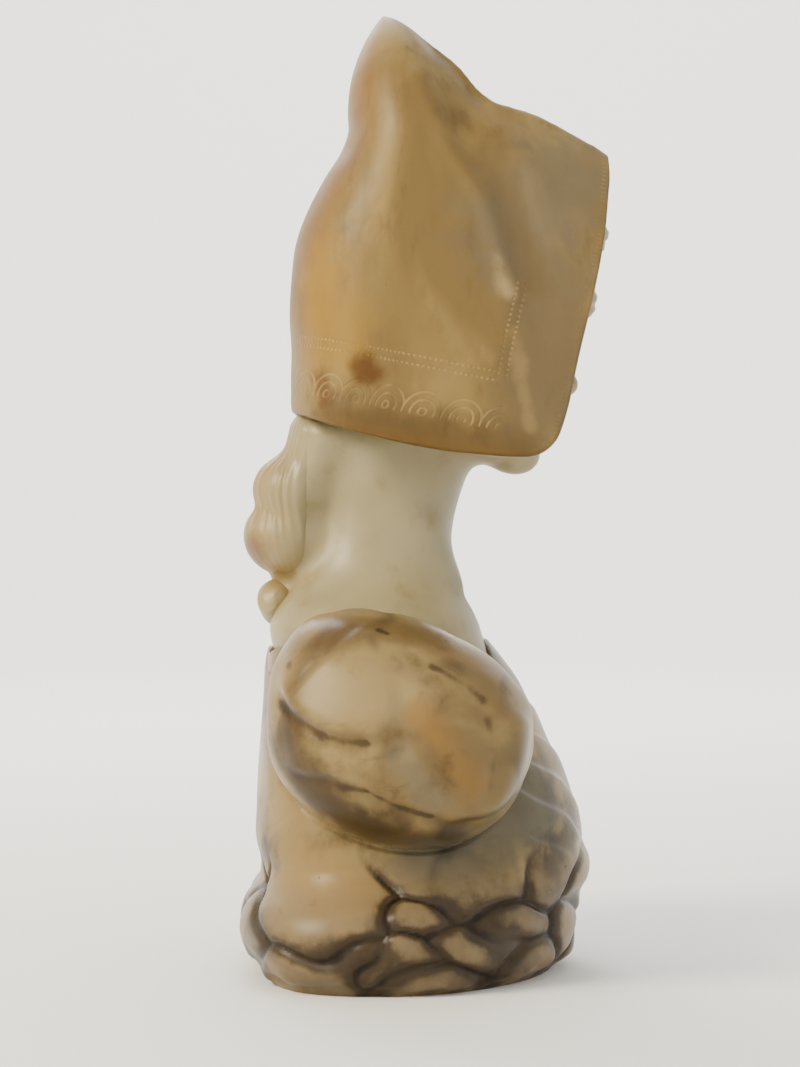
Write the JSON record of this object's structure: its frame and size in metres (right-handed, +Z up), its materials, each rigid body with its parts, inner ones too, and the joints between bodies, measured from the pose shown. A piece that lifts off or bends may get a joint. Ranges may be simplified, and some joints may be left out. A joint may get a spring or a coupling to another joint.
{
  "type": "marble bust",
  "caption": "Carved stone bust of a figure in a tall pointed bonnet, with a gathered bun at the nape and a dress with round puffed sleeves.",
  "frame": {"origin": "middle of the flat face that the bust rests on", "axes": "+Z up, the figure looks towards -Y, +X to the figure's left"},
  "size_m": [0.2276, 0.1452, 0.379],
  "materials": {
    "bonnet_stone": "honey alabaster, satin polish",
    "skin_stone": "cream white marble, soft satin polish",
    "dress_stone": "cream alabaster with dark veins, polished",
    "iron": "rough drawn bar",
    "plaster": "matt plaster"
  },
  "bodies": {
    "root": {"bonnet": "bonnet_stone", "head_and_neck": "skin_stone", "bodice": "dress_stone", "neck_dowel": "iron", "bonnet_pin": "iron", "dowel_grout_upper": "plaster", "dowel_grout_lower": "plaster", "neck_bedding": "plaster", "bonnet_bedding": "plaster"}
  },
  "joints": []
}
